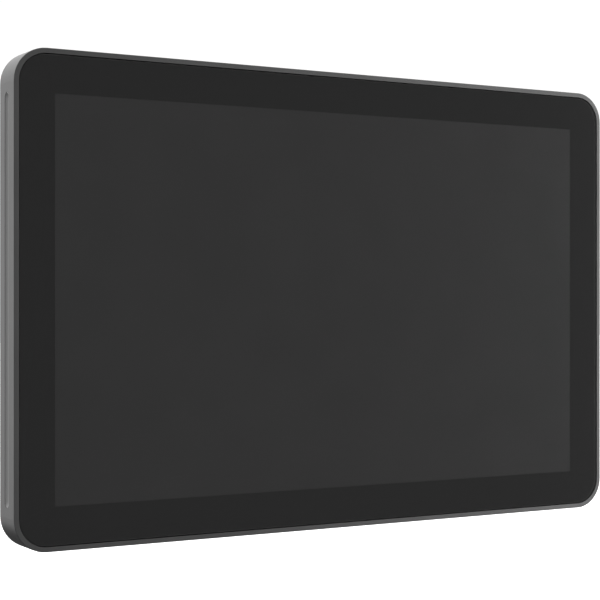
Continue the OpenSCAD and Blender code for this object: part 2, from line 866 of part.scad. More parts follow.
// Leads from the speakers and the button board to the main board
module signal_leads() {
    r = 0.6;
    x_in = speaker_x - speaker_w / 2;
    rest_y = board_back_y + r;
    gap = 0.1;
    color([0.5, 0.1, 0.1]) {
        for (s = [-1, 1])
            wire([[s * (x_in - gap), -8, -14], [s * (x_in - 1.4), -8.1, -14.4],
                  [s * (x_in - 3.6), -10.2, -20], [s * (x_in - 6), -12.6, -25],
                  [s * (x_in - 9), rest_y, -28]], r);
        wire([[switch_board_x - gap, -9, 12], [switch_board_x - 2, -9.1, 12],
              [switch_board_x - 6, -11, 10.6], [switch_board_x - 11, -13.2, 8.8],
              [switch_board_x - 16, rest_y, 8]], r);
    }
}

module led_leads() {
    r = 0.5;
    low_y = chassis_back_y + 0.7;
    rest_y = board_back_y + r;
    color([0.85, 0.85, 0.85]) for (s = [-1, 1])
        wire([[s * 117, -20, -67.5], [s * 115.4, -19.9, -68.4], [s * 114.4, -19, -68.2],
              [s * 113.4, low_y, -67], [s * 108, low_y, -62], [s * 100, low_y, -55],
              [s * 92, low_y, -49], [s * 84, low_y, -45], [s * 78.5, -16.9, -42],
              [s * 75, -14.6, -38.6], [s * 71.6, -13.2, -34.6], [s * 67, rest_y, -31.8]], r);
}

// ---------- sockets ----------

// Box that a socket fills, on the main board's rear face, mouth at the bay ceiling
module socket_body(x, size, grow = 0, low = ceiling_low) {
    block([x - size[0] / 2 - grow, board_back_y - grow, low],
          [x + size[0] / 2 + grow, board_back_y + size[1] + grow, ceiling_low + size[2] + grow]);
}

module ethernet_jack() {
    mouth_y = [board_back_y + 1.4, board_back_y + 9.6];
    latch_half = 3.2;
    latch_depth = 4;
    contacts = 8;
    contact_pitch = 1.02;
    contact_half = 0.2;
    contact_t = 0.8;
    contact_z = [ceiling_low + latch_depth, ceiling_low + ethernet_depth - 1];
    color([0.7, 0.7, 0.7]) difference() {
        socket_body(ethernet_x, ethernet_size);
        block([ethernet_x - ethernet_mouth_w / 2, mouth_y[0], ceiling_low - 1],
              [ethernet_x + ethernet_mouth_w / 2, mouth_y[1], ceiling_low + ethernet_depth]);
        block([ethernet_x - latch_half, mouth_y[1] - 1, ceiling_low - 1],
              [ethernet_x + latch_half, mouth_y[1] + 1, ceiling_low + latch_depth]);
    }
    color("gold") for (i = [0:contacts - 1]) {
        x = ethernet_x + (i - (contacts - 1) / 2) * contact_pitch;
        block([x - contact_half, mouth_y[0] - touch, contact_z[0]],
              [x + contact_half, mouth_y[0] + contact_t, contact_z[1]]);
    }
}

module usb_a_ports() {
    wall = 0.5;
    tongue_half = 5.6;
    tongue_t = 1.7;
    root = 0.1;
    for (x = usb_a_x) {
        mid_y = board_back_y + usb_a_size[1] / 2;
        color("silver") difference() {
            socket_body(x, usb_a_size);
            block([x - usb_a_size[0] / 2 + wall, board_back_y + wall, ceiling_low - 1],
                  [x + usb_a_size[0] / 2 - wall, board_back_y + usb_a_size[1] - wall,
                   ceiling_low + usb_a_depth]);
        }
        color([0.05, 0.2, 0.6])
            block([x - tongue_half, mid_y, ceiling_low + 1],
                  [x + tongue_half, mid_y + tongue_t, ceiling_low + usb_a_depth + root]);
    }
}

// Shell with round ends that lies along X, its mouth facing down
module oval_shell(x, y, w, t, z0, z1) {
    for (s = [-1, 1]) translate([x + s * (w - t) / 2, y, z0]) cylinder(h = z1 - z0, r = t / 2);
    block([x - (w - t) / 2, y - t / 2, z0], [x + (w - t) / 2, y + t / 2, z1]);
}

module usb_c_port() {
    wall = 0.35;
    tongue_half = 3;
    tongue_half_t = 0.35;
    root = 0.1;
    y = board_back_y + usb_c_size[1] / 2;
    low = ceiling_low;
    color("silver") difference() {
        oval_shell(usb_c_x, y, usb_c_size[0], usb_c_size[1], low, low + usb_c_size[2]);
        oval_shell(usb_c_x, y, usb_c_size[0] - 2 * wall, usb_c_size[1] - 2 * wall,
                   low - 1, low + usb_c_depth);
    }
    color([0.1, 0.1, 0.1])
        block([usb_c_x - tongue_half, y - tongue_half_t, low + 0.8],
              [usb_c_x + tongue_half, y + tongue_half_t, low + usb_c_depth + root]);
}

// Barrel socket with its centre pin
module power_jack() {
    y = board_back_y + power_size[1] / 2;
    root = 0.1;
    color([0.08, 0.08, 0.08]) difference() {
        socket_body(power_x, power_size);
        translate([power_x, y, ceiling_low - 1]) cylinder(h = jack_depth + 1, r = power_bore_r);
    }
    color("silver") translate([power_x, y, ceiling_low + 1])
        cylinder(h = jack_depth - 1 + root, r = power_pin_r);
}

module audio_jack() {
    y = board_back_y + audio_size[1] / 2;
    color([0.1, 0.1, 0.1]) difference() {
        socket_body(audio_x, audio_size);
        translate([audio_x, y, ceiling_low - 1]) cylinder(h = jack_depth + 1, r = audio_bore_r);
    }
}

// ---------- rear cover ----------

// Outer form: the flush plate and the raised housing
module cover_form() {
    slab(cover_w, cover_h, inner_r - cover_gap, plate_front_y, frame_back_y);
    translate([0, 0, hump_z])
        eased_slab(hump_w, hump_h, hump_r, plate_front_y + 0.5, 0, 0, hump_edge);
}

// The hollow that holds the board, and the two lower pockets beside the bay
module cover_cavity() {
    half = hump_w / 2 - hump_wall;
    top = hump_top - hump_wall;
    deep = plate_front_y - 1;
    r = hump_r - hump_wall;
    difference() {
        translate([0, 0, hump_z])
            slab(2 * half, 2 * (top - hump_z), r, deep, cavity_back_y);
        block([-bay_w / 2 - hump_wall, deep - 1, hump_bottom - 1],
              [bay_w / 2 + hump_wall, 1, ceiling_top]);
    }
}

module cover_vents() {
    upper = 16;
    upper_pitch = 9;
    upper_size = [2.4, 7];
    lower = 4;
    lower_pitch = 5;
    lower_size = [2.2, 6];
    lower_start = bay_w / 2 + 7;
    for (i = [0:upper - 1])
        translate([(i - (upper - 1) / 2) * upper_pitch, button_y, hump_top - hump_wall / 2])
            cube([upper_size[0], upper_size[1], 2 * hump_wall], center = true);
    for (s = [-1, 1], i = [0:lower - 1])
        translate([s * (lower_start + i * lower_pitch), button_y, hump_bottom + hump_wall / 2])
            cube([lower_size[0], lower_size[1], 2 * hump_wall], center = true);
}

// Five slots in front of each cone, shorter towards the ends
module speaker_slots() {
    slot_pitch = 2.6;
    slot_h = 1.2;
    longest = 9;
    for (s = [-1, 1], c = cone_z, i = [-2:2])
        translate([s * speaker_x, -hump_wall / 2, c + i * slot_pitch])
            cube([longest - abs(i), 2 * hump_wall, slot_h], center = true);
}

module cover_bosses() {
    post_r = 2.4;
    rail_front_y = -12.6;
    rail_half = 1.4;
    rail_in = 1.5;
    for (x = [-1, 1], z = [-1, 1])
        rod(x * mount_pitch / 2, z * mount_pitch / 2, boss_front_y, cavity_back_y + touch, boss_r);
    for (s = [-1, 1], z = speaker_screw_z)
        rod(s * speaker_x, z, speaker_post_back_y, cavity_back_y + touch, post_r);
    for (p = magnet_at) {
        wall_x = sign(p[0]) * (bay_w / 2 + touch);
        rod(p[0], p[1], frame_back_y - touch, keeper_back_y, magnet_cup_r);
        block([min(p[0], wall_x), frame_back_y - touch, p[1] - rib_t / 2],
              [max(p[0], wall_x), keeper_back_y - magnet_t - 0.5, p[1] + rib_t / 2]);
    }
    for (z = [switch_board_low, switch_board_top])
        block([switch_board_x - rail_in, rail_front_y, z - rail_half],
              [hump_w / 2 - 1, cavity_back_y + 1, z + rail_half]);
}

// Fixed halves of the door's hinge, hung from the bay's upper edge
module cover_hinge() {
    web_back_y = axis_y + 0.9;
    for (k = cover_knuckles) {
        bar(axis_y, axis_z, k[0], k[1], knuckle_r);
        block([k[0], axis_y - knuckle_r, axis_z], [k[1], web_back_y, ceiling_top]);
    }
}

module socket_windows() {
    gap = socket_gap;
    low = ceiling_low - 1;
    socket_body(ethernet_x, ethernet_size, gap, low);
    for (x = usb_a_x) socket_body(x, usb_a_size, gap, low);
    socket_body(usb_c_x, usb_c_size, gap, low);
    socket_body(power_x, power_size, gap, low);
    socket_body(audio_x, audio_size, gap, low);
}

module rear_cover() {
    board_slot = switch_board_t + 2 * fit;
    button_cut = hump_w / 2 - 4;
    side_out = hump_w / 2 + 1;
    relief_y = -6;
    relief_top = ceiling_low + 0.8;
    head_gap = 0.15;
    post_floor = 0.4;
    color([0.1, 0.1, 0.105]) difference() {
        union() {
            difference() {
                cover_form();
                cover_cavity();
                block([-bay_w / 2, frame_back_y, hump_bottom - 1], [bay_w / 2, 1, ceiling_low]);
                block([-bay_w / 2, relief_y, ceiling_low - 1], [bay_w / 2, 1, relief_top]);
            }
            cover_bosses();
            cover_hinge();
        }
        cover_vents();
        speaker_slots();
        socket_windows();
        for (x = [-1, 1], z = [-1, 1])
            rod(x * mount_pitch / 2, z * mount_pitch / 2, -insert_len, 1, insert_r + touch);
        for (x = cover_lug_x, s = [-1, 1]) {
            rod(x, s * lug_z, plate_front_y - 1, frame_back_y + 1, clear_r);
            rod(x, s * lug_z, frame_back_y - screw_head_t, frame_back_y + 1, screw_head_r + head_gap);
        }
        for (s = [-1, 1], z = speaker_screw_z)
            rod(s * speaker_x, z, speaker_post_back_y - 1, cavity_back_y - post_floor, screw_r + fit);
        for (p = magnet_at)
            rod(p[0], p[1], keeper_back_y - magnet_t, 0, magnet_r + touch);
        bar(axis_y, axis_z, -bay_w / 2, bay_w / 2, pin_r + touch);
        bar(button_y, power_z, button_cut, side_out, power_r + button_gap);
        for (z = volume_z) bar(button_y, z, button_cut, side_out, volume_r + button_gap);
        block([switch_board_x - fit, switch_slot_front_y, switch_board_low],
              [switch_board_x - fit + board_slot, switch_slot_back_y, switch_board_top]);
        side_slot(button_y, lock_z, -side_out, -button_cut, lock_slot[0], lock_slot[1]);
        block([label_x[0], -label_recess, -label_half], [label_x[1], 1, label_half]);
    }
}

module mount_inserts() {
    color([0.78, 0.62, 0.3]) for (x = [-1, 1], z = [-1, 1]) difference() {
        rod(x * mount_pitch / 2, z * mount_pitch / 2, -insert_len, 0, insert_r);
        rod(x * mount_pitch / 2, z * mount_pitch / 2, -insert_len - 1, 1, mount_bore_r);
    }
}

module cover_screws() {
    color([0.15, 0.15, 0.15]) for (x = cover_lug_x, s = [-1, 1])
        screw(x, s * lug_z, frame_back_y - screw_head_t, cover_screw_len);
}

// Steel plate behind the security cable slot
module lock_plate() {
    x1 = -hump_w / 2 + hump_wall;
    t = 1.4;
    half_y = 5;
    half_z = 9;
    color("silver") difference() {
        block([x1, button_y - half_y, lock_z - half_z], [x1 + t, button_y + half_y, lock_z + half_z]);
        side_slot(button_y, lock_z, x1 - 1, x1 + t + 1, lock_slot[0], lock_slot[1]);
    }
}

module rating_label() {
    gap = 0.2;
    t = 0.2;
    color([0.85, 0.85, 0.85])
        block([label_x[0] + gap, -label_recess, gap - label_half],
              [label_x[1] - gap, t - label_recess, label_half - gap]);
}

// ---------- buttons ----------

module button(r, z) {
    out = hump_w / 2 + cap_out;
    collar_out = hump_w / 2 - hump_wall - button_gap;
    bar(button_y, z, out - cap_len, out - cap_ease, r);
    translate([out - cap_ease - touch, button_y, z]) rotate([0, 90, 0])
        cylinder(h = cap_ease + touch, r1 = r, r2 = r - cap_ease);
    bar(button_y, z, collar_out - collar_t, collar_out, r + collar_extra);
}

module power_button() {
    color([0.3, 0.3, 0.31]) button(power_r, power_z);
}

module volume_up_button() {
    color([0.3, 0.3, 0.31]) button(volume_r, volume_z[0]);
}

module volume_down_button() {
    color([0.3, 0.3, 0.31]) button(volume_r, volume_z[1]);
}

module button_board() {
    color([0.08, 0.32, 0.18])
        block([switch_board_x, switch_board_front_y, switch_board_low],
              [switch_board_x + switch_board_t, switch_board_back_y, switch_board_top]);
}

module button_switches() {
    plunger_r = 1.6;
    tip = hump_w / 2 + cap_out - cap_len - button_travel - button_gap;
    base = switch_board_x + switch_board_t;
    case_t = 3.2;
    half = 3;
    color([0.2, 0.2, 0.2]) for (z = [power_z, volume_z[0], volume_z[1]]) {
        block([base, button_y - half, z - half], [base + case_t, button_y + half, z + half]);
        bar(button_y, z, base + case_t - touch, tip, plunger_r);
    }
}

// ---------- port door ----------

module port_door() {
    color([0.12, 0.12, 0.125]) difference() {
        union() {
            block([-door_w / 2, door_front_y, door_low], [door_w / 2, door_back_y, door_high]);
            for (k = door_knuckles) {
                bar(axis_y, axis_z, k[0], k[1], knuckle_r);
                block([k[0], door_front_y, door_high - 1], [k[1], door_back_y, axis_z]);
            }
            for (p = magnet_at)
                rod(p[0], p[1], door_magnet_front_y, door_front_y + touch, magnet_cup_r);
        }
        bar(axis_y, axis_z, -bay_w / 2, bay_w / 2, pin_r + fit);
        for (p = magnet_at)
            rod(p[0], p[1], door_magnet_front_y - 1, door_magnet_front_y + magnet_t, magnet_r + touch);
        translate([0, door_back_y + grip_r - grip_depth, door_low + 2]) rotate([0, 90, 0])
            cylinder(h = grip_w, r = grip_r, center = true);
    }
}

module door_hinge_pin() {
    color("silver") bar(axis_y, axis_z, cover_knuckles[0][0], cover_knuckles[2][1], pin_r);
}

module door_magnets() {
    color("silver") for (p = magnet_at)
        rod(p[0], p[1], door_magnet_front_y, door_magnet_front_y + magnet_t, magnet_r);
}

module keeper_magnets() {
    color("silver") for (p = magnet_at)
        rod(p[0], p[1], keeper_back_y - magnet_t, keeper_back_y, magnet_r);
}

// ---------- one line for each node ----------

housing_frame();
cover_glass();
border_mask();
touch_sensor();
glass_tape();
lcd_bezel();
lcd_cell();
optical_sheets();
light_guide();
backlight_led_bar();
lcd_rear_tray();
lcd_driver_board();
foam_pads();
chassis_plate();
chassis_screws();
board_standoffs();
main_board();
board_screws();
processor();
thermal_pad();
heat_sink();
heat_sink_screws();
memory_chips();
shield_can();
poe_transformer();
coin_cell_holder();
coin_cell();
wireless_module();
touch_controller_board();
touch_flex();
display_flex();
antennas();
antenna_leads();
speaker_boxes();
speaker_cones();
speaker_gaskets();
speaker_screws();
signal_leads();
light_diffusers();
led_strips();
led_leads();
ethernet_jack();
usb_a_ports();
usb_c_port();
power_jack();
audio_jack();
rear_cover();
mount_inserts();
cover_screws();
lock_plate();
rating_label();
button_board();
button_switches();
power_button();
volume_up_button();
volume_down_button();
port_door();
door_hinge_pin();
door_magnets();
keeper_magnets();
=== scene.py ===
"""Looks for the touchscreen kiosk terminal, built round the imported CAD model.

The row frame is in metres: the screen faces -Y, +Z is up, and +X is the viewer's right.
"""

import json
import math

import bmesh
import bpy
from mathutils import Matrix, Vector


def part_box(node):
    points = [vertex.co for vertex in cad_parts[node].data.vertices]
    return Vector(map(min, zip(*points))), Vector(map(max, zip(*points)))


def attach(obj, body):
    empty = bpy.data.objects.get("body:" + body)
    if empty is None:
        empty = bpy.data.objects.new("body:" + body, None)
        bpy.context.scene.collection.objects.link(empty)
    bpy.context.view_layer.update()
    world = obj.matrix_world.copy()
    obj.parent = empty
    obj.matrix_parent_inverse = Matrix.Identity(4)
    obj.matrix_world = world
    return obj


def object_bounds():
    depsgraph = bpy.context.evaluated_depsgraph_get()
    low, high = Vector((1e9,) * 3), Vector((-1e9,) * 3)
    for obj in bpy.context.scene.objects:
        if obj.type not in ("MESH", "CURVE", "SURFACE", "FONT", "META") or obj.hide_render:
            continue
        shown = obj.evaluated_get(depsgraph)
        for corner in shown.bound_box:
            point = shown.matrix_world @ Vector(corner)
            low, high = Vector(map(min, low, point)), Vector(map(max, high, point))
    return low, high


MM = 0.001

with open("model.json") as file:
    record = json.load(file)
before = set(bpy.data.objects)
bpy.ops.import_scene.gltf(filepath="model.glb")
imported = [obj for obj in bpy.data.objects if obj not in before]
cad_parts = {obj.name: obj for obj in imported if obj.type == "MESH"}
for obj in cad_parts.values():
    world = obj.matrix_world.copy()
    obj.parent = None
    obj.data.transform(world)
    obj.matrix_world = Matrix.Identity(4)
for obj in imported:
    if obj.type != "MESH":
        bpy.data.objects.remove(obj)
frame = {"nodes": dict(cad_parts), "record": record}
CAD_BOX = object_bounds()


# ---------- node helpers ----------

# Noise keeps to the middle of 0..1, so ramps and spans start and end there
NOISE_LOW = 0.3
NOISE_HIGH = 0.7


class Nodes:
    """A material's node tree with short calls for making and joining nodes."""

    def __init__(self, name):
        self.material = bpy.data.materials.new(name)
        self.material.use_nodes = True
        self.tree = self.material.node_tree
        self.shader = self.tree.nodes["Principled BSDF"]

    def add(self, kind, **sockets):
        """A new node. Keywords set attributes, or inputs where the name is an input's."""
        node = self.tree.nodes.new("ShaderNode" + kind)
        for name, value in sockets.items():
            label = name.replace("_", " ")
            if label in node.inputs:
                node.inputs[label].default_value = value
            else:
                setattr(node, name, value)
        return node

    def link(self, source, target):
        self.tree.links.new(source, target)

    def set(self, **values):
        """Sets constants on the shader's own sockets."""
        for name, value in values.items():
            self.shader.inputs[name.replace("_", " ")].default_value = value

    def place(self):
        """Object coordinates, which are metres in the row frame."""
        return self.add("TexCoord").outputs["Object"]

    def noise(self, scale, detail=3.0, where=None):
        node = self.add("TexNoise", Scale=scale, Detail=detail)
        self.link(where or self.place(), node.inputs["Vector"])
        return node.outputs["Fac"]

    def stretched(self, factors):
        """Object coordinates scaled by axis, for grain that runs one way."""
        node = self.add("Mapping")
        node.inputs["Scale"].default_value = factors
        self.link(self.place(), node.inputs["Vector"])
        return node.outputs["Vector"]

    def span(self, source, low, high, start=0.0, end=1.0):
        """Maps source from start..end to low..high."""
        node = self.add("MapRange")
        for name, value in (("From Min", start), ("From Max", end), ("To Min", low), ("To Max", high)):
            node.inputs[name].default_value = value
        self.link(source, node.inputs["Value"])
        return node.outputs["Result"]

    def tint(self, source, dark, light, low=0.0, high=1.0):
        """A colour that goes from dark to light as source rises."""
        ramp = self.add("ValToRGB")
        ramp.color_ramp.elements[0].position = low
        ramp.color_ramp.elements[0].color = (*dark, 1.0)
        ramp.color_ramp.elements[1].position = high
        ramp.color_ramp.elements[1].color = (*light, 1.0)
        self.link(source, ramp.inputs["Fac"])
        return ramp.outputs["Color"]

    def bump(self, height, distance, edge=None):
        """Bump of a real height in metres, over edges rounded to radius edge."""
        node = self.add("Bump", Strength=1.0, Distance=distance)
        self.link(height, node.inputs["Height"])
        if edge:
            soft = self.add("Bevel", Radius=edge)
            soft.samples = 4
            self.link(soft.outputs["Normal"], node.inputs["Normal"])
        self.link(node.outputs["Normal"], self.shader.inputs["Normal"])

    def colour(self, source, dark, light, low=NOISE_LOW, high=NOISE_HIGH):
        """Base colour that goes from dark to light as source rises."""
        self.link(self.tint(source, dark, light, low, high), self.shader.inputs["Base Color"])

    def rough(self, source, smooth, coarse, start=NOISE_LOW, end=NOISE_HIGH):
        """Roughness that goes from smooth to coarse as source rises."""
        self.link(self.span(source, smooth, coarse, start, end), self.shader.inputs["Roughness"])


def grey(value, warmth=0.0):
    """A grey, or a warm grey with more red than blue."""
    return (value * (1 + warmth), value, value * (1 - warmth))


def times(colour, factor):
    """A colour made darker or lighter by a factor."""
    return tuple(c * factor for c in colour)


def metal(name, base, roughness):
    """Bead-blasted, anodised metal: fine isotropic grain and slow cloudy variation."""
    cloud_scale = 28.0
    grain_scale = 9000.0
    grain_share = 0.5
    grain_depth = 0.004 * MM
    tone_swing = 0.12
    roughness_swing = 0.05
    n = Nodes(name)
    n.set(Metallic=1.0)
    cloud = n.noise(cloud_scale, 2.0)
    grain = n.noise(grain_scale, 2.0)
    blend = n.add("Math", operation="MULTIPLY_ADD")
    n.link(grain, blend.inputs[0])
    blend.inputs[1].default_value = grain_share
    n.link(cloud, blend.inputs[2])
    n.colour(blend.outputs[0], times(base, 1 - tone_swing), times(base, 1 + tone_swing), 0.4, 1.0)
    n.rough(grain, roughness - roughness_swing, roughness + roughness_swing)
    n.bump(grain, grain_depth, edge=0.12 * MM)
    return n.material


def moulded(name, base, roughness, texture_scale=2600.0, texture_depth=0.012 * MM, edge=0.25 * MM):
    """Moulded plastic with a spark-eroded texture."""
    cloud_scale = 18.0
    roughness_swing = 0.08
    n = Nodes(name)
    pits = n.noise(texture_scale, 4.0)
    n.colour(n.noise(cloud_scale, 2.0), times(base, 0.85), times(base, 1.2))
    n.rough(pits, roughness - roughness_swing, roughness + roughness_swing, 0.35, 0.65)
    n.bump(pits, texture_depth, edge=edge)
    return n.material


def plated(name, base, roughness):
    """Plated or machined metal with fine turning marks and a little staining."""
    stain_scale = 220.0
    mark_stretch = (900.0, 14000.0, 900.0)
    n = Nodes(name)
    n.set(Metallic=1.0)
    marks = n.noise(1.0, 3.0, n.stretched(mark_stretch))
    n.colour(n.noise(stain_scale, 4.0), times(base, 0.8), base, 0.35, 0.6)
    n.rough(marks, roughness - 0.06, roughness + 0.08)
    n.bump(marks, 0.002 * MM, edge=0.05 * MM)
    return n.material


def board(name, base):
    """Circuit board: solder mask over faint copper tracks, which lie in the board's XZ plane."""
    pattern_scale = 160.0
    mask_scale = 700.0
    n = Nodes(name)
    n.set(IOR=1.5)
    tracks = n.add("TexBrick", Scale=pattern_scale)
    tracks.inputs["Mortar Size"].default_value = 0.02
    tracks.inputs["Brick Width"].default_value = 0.9
    tracks.inputs["Row Height"].default_value = 0.3
    flat = n.add("Mapping")
    flat.inputs["Rotation"].default_value = (math.radians(90), 0, 0)
    n.link(n.place(), flat.inputs["Vector"])
    n.link(flat.outputs["Vector"], tracks.inputs["Vector"])
    light = tuple(min(1.0, c * 1.8 + 0.02) for c in base)
    n.colour(tracks.outputs["Fac"], base, light, 0.2, 0.8)
    n.rough(n.noise(mask_scale), 0.3, 0.45, 0.0, 1.0)
    n.bump(tracks.outputs["Fac"], 0.03 * MM)
    return n.material


def soft(name, base, roughness, scale=1500.0, depth=0.03 * MM, specular=0.5):
    """Foam, rubber, film or paper: matte, with an open grain."""
    roughness_swing = 0.06
    n = Nodes(name)
    n.set(Specular_IOR_Level=specular)
    cells = n.noise(scale, 5.0)
    n.colour(cells, times(base, 0.7), times(base, 1.25))
    n.rough(cells, roughness - roughness_swing, roughness + roughness_swing)
    n.bump(cells, depth)
    return n.material


def frosted_bar(name, node, back, front):
    """Frosted acrylic whose base colour pales towards its front edge: painted light, standing in for light
    the bar carries along that edge.
    """
    # Painted glow: depths in front of the bar's middle over which the colour goes from the back colour to the
    # pale front colour
    painted_glow_from = 0.5 * MM
    painted_glow_to = 1.3 * MM
    frost_scale = 5000.0
    low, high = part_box(node)
    middle_y = (low[1] + high[1]) / 2
    n = Nodes(name)
    axes = n.add("SeparateXYZ")
    n.link(n.place(), axes.inputs["Vector"])
    frost = n.noise(frost_scale, 2.0)
    # Painted glow: the base colour ramps across the bar's depth and is palest at the front edge
    painted_glow_ramp = n.span(axes.outputs["Y"], 1.0, 0.0, middle_y - painted_glow_to, middle_y - painted_glow_from)
    n.colour(painted_glow_ramp, back, front, 0.0, 1.0)
    n.rough(frost, 0.26, 0.34)
    n.bump(frost, 0.0008 * MM)
    return n.material


def brushed_film(name, base):
    """Polyester label: fine brush lines that run along X, under a thin clear coat."""
    line_stretch = (60.0, 2500.0, 2500.0)
    n = Nodes(name)
    n.set(Coat_Weight=0.4, Coat_Roughness=0.25)
    lines = n.noise(1.0, 4.0, n.stretched(line_stretch))
    n.colour(lines, times(base, 0.9), times(base, 1.08))
    n.rough(lines, 0.38, 0.48)
    n.bump(lines, 0.002 * MM)
    return n.material


def tinted_glass(name, dark, light):
    """Cover glass: smoked, with a light anti-glare finish and the slow ripple of strengthened glass."""
    ripple_scale = 60.0
    haze_scale = 9.0
    n = Nodes(name)
    n.set(Transmission_Weight=1.0, IOR=1.5)
    ripple = n.noise(ripple_scale, 2.0)
    n.colour(ripple, dark, light)
    n.rough(n.noise(haze_scale), 0.06, 0.08)
    n.bump(ripple, 0.002 * MM)
    return n.material


# ---------- materials by slot ----------

ANODISE = grey(0.09)
MATERIALS = {
    "anodised_frame": metal("anodised_frame", ANODISE, 0.42),
    "button_metal": metal("button_metal", ANODISE, 0.36),
    "cover_glass": tinted_glass("cover_glass", grey(0.32), grey(0.35)),
    "black_print": soft("black_print", grey(0.002), 0.5, scale=4000.0, depth=0.002 * MM, specular=0.05),
    "sensor_film": soft("sensor_film", grey(0.009), 0.42, scale=3000.0, depth=0.001 * MM, specular=0.85),
    "display_glass": soft("display_glass", grey(0.012), 0.3, scale=3000.0, depth=0.002 * MM),
    "acrylic": soft("acrylic", grey(0.7), 0.2, scale=900.0, depth=0.002 * MM),
    # The diffuser's paler front colour is painted light, not the acrylic's own colour
    "diffuser": frosted_bar("diffuser", "light_diffusers", grey(0.25), grey(0.72)),
    "foam": soft("foam", grey(0.02), 0.9),
    "sheet_steel": plated("sheet_steel", grey(0.6), 0.35),
    "steel_fasteners": plated("steel_fasteners", grey(0.62), 0.3),
    "black_screws": plated("black_screws", grey(0.06), 0.4),
    "nickel_plate": plated("nickel_plate", grey(0.66, 0.02), 0.25),
    "brass": plated("brass", (0.72, 0.5, 0.2), 0.3),
    "circuit_board": board("circuit_board", (0.01, 0.09, 0.045)),
    "led_board": board("led_board", grey(0.6)),
    "chip_plastic": moulded("chip_plastic", grey(0.02), 0.5, texture_scale=4000.0,
                            texture_depth=0.006 * MM, edge=0.1 * MM),
    "flex_film": soft("flex_film", (0.5, 0.22, 0.03), 0.35, scale=900.0, depth=0.005 * MM),
    "lead_jacket": soft("lead_jacket", grey(0.03), 0.5, scale=3000.0, depth=0.01 * MM),
    "paper_cone": soft("paper_cone", grey(0.04), 0.8, scale=2500.0),
    "black_aluminium": metal("black_aluminium", grey(0.05), 0.4),
    "cover_plastic": moulded("cover_plastic", grey(0.028), 0.5),
    "label_film": brushed_film("label_film", grey(0.42)),
}


def dress_nodes():
    """Gives each CAD node the material of its slot."""
    slots = {part["node"]: part["material_slot"] for part in frame["record"]["subparts"]}
    for name, obj in frame["nodes"].items():
        obj.data.materials.clear()
        obj.data.materials.append(MATERIALS[slots[name]])


dress_nodes()


# ---------- rounded edges on the moulded and machined parts ----------

# Real edge radius by node, in millimetres; every one of these edges is broken in the making
EDGE_RADIUS = {
    "rear_cover": 0.3, "port_door": 0.3, "lock_plate": 0.15, "mount_inserts": 0.2, "cover_screws": 0.12,
    "power_button": 0.12, "volume_up_button": 0.12, "volume_down_button": 0.12, "ethernet_jack": 0.12,
    "usb_a_ports": 0.08, "power_jack": 0.2, "audio_jack": 0.2, "heat_sink": 0.1, "light_diffusers": 0.05,
}


def round_edges():
    """Rounds the sharp edges of the nodes in EDGE_RADIUS."""
    for name, radius in EDGE_RADIUS.items():
        bevel = frame["nodes"][name].modifiers.new("edge", "BEVEL")
        bevel.width = radius * MM
        bevel.segments = 2
        bevel.limit_method = "ANGLE"
        bevel.angle_limit = math.radians(50)
        bevel.use_clamp_overlap = True
        bevel.harden_normals = False


round_edges()


# ---------- pieces ----------

# Thread pitch of the mount's brass inserts
M4_PITCH = 0.7 * MM


def add_piece(name, mesh_data, body, slot):
    """A finished bmesh as an object that rides on a body and takes a slot's material."""
    mesh = bpy.data.meshes.new(name)
    bmesh.ops.recalc_face_normals(mesh_data, faces=mesh_data.faces[:])
    mesh_data.to_mesh(mesh)
    mesh_data.free()
    piece = bpy.data.objects.new(name, mesh)
    bpy.context.collection.objects.link(piece)
    mesh.materials.append(MATERIALS[slot])
    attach(piece, body)
    return piece


def skin(mesh_data, rows):
    """A closed tube through rows of points, each row one section of it."""
    rings = [[mesh_data.verts.new(point) for point in row] for row in rows]
    for first, second in zip(rings, rings[1:]):
        for k in range(len(first)):
            j = (k + 1) % len(first)
            mesh_data.faces.new((first[k], first[j], second[j], second[k]))
    mesh_data.faces.new(rings[0])
    mesh_data.faces.new(rings[-1])


def ribbon(mesh_data, line, width, place):
    """A raised stroke along a flat line. place(u, v, height) gives the point in the row frame."""
    rise = 0.15 * MM
    root = -0.3
    shoulder = 0.6
    section = [(1, root), (1, shoulder), (shoulder, 1), (-shoulder, 1), (-1, shoulder), (-1, root)]
    rows = []
    for i, (u, v) in enumerate(line):
        before = line[max(i - 1, 0)]
        after = line[min(i + 1, len(line) - 1)]
        along = Vector((after[0] - before[0], after[1] - before[1])).normalized()
        side = Vector((-along.y, along.x)) * width / 2
        rows.append([place(u + s * side.x, v + s * side.y, h * rise) for s, h in section])
    skin(mesh_data, rows)


def add_button_marks():
    """Raised generic signs on the side wall: on/off and plus above their buttons, minus below its own."""
    cover_wall = 2.2 * MM
    stroke = 0.5 * MM
    low, high = (Vector(c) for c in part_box("power_button"))
    # The lock plate lies on the inner face of the opposite wall
    wall_x = cover_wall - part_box("lock_plate")[0][0]
    middle_y = (low.y + high.y) / 2
    data = bmesh.new()

    def place_at(z):
        return lambda u, v, height: (wall_x + height, middle_y + u, z + v)

    radius = 1.5 * MM
    bar_low = 0.2 * MM
    bar_high = 1.9 * MM
    gap = math.radians(35)
    steps = 28
    arc = [gap + (2 * math.pi - 2 * gap) * i / steps for i in range(steps + 1)]
    on_off = place_at(high.z + 2.6 * MM)
    ribbon(data, [(radius * math.sin(a), radius * math.cos(a)) for a in arc], stroke, on_off)
    ribbon(data, [(0, bar_low), (0, bar_high)], stroke, on_off)

    reach = 1.1 * MM
    clear = 1.6 * MM
    plus = place_at(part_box("volume_up_button")[1][2] + clear)
    minus = place_at(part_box("volume_down_button")[0][2] - clear)
    ribbon(data, [(-reach, 0), (reach, 0)], stroke, plus)
    ribbon(data, [(0, -reach), (0, reach)], stroke, plus)
    ribbon(data, [(-reach, 0), (reach, 0)], stroke, minus)
    add_piece("button_marks", data, "housing", "label_film")


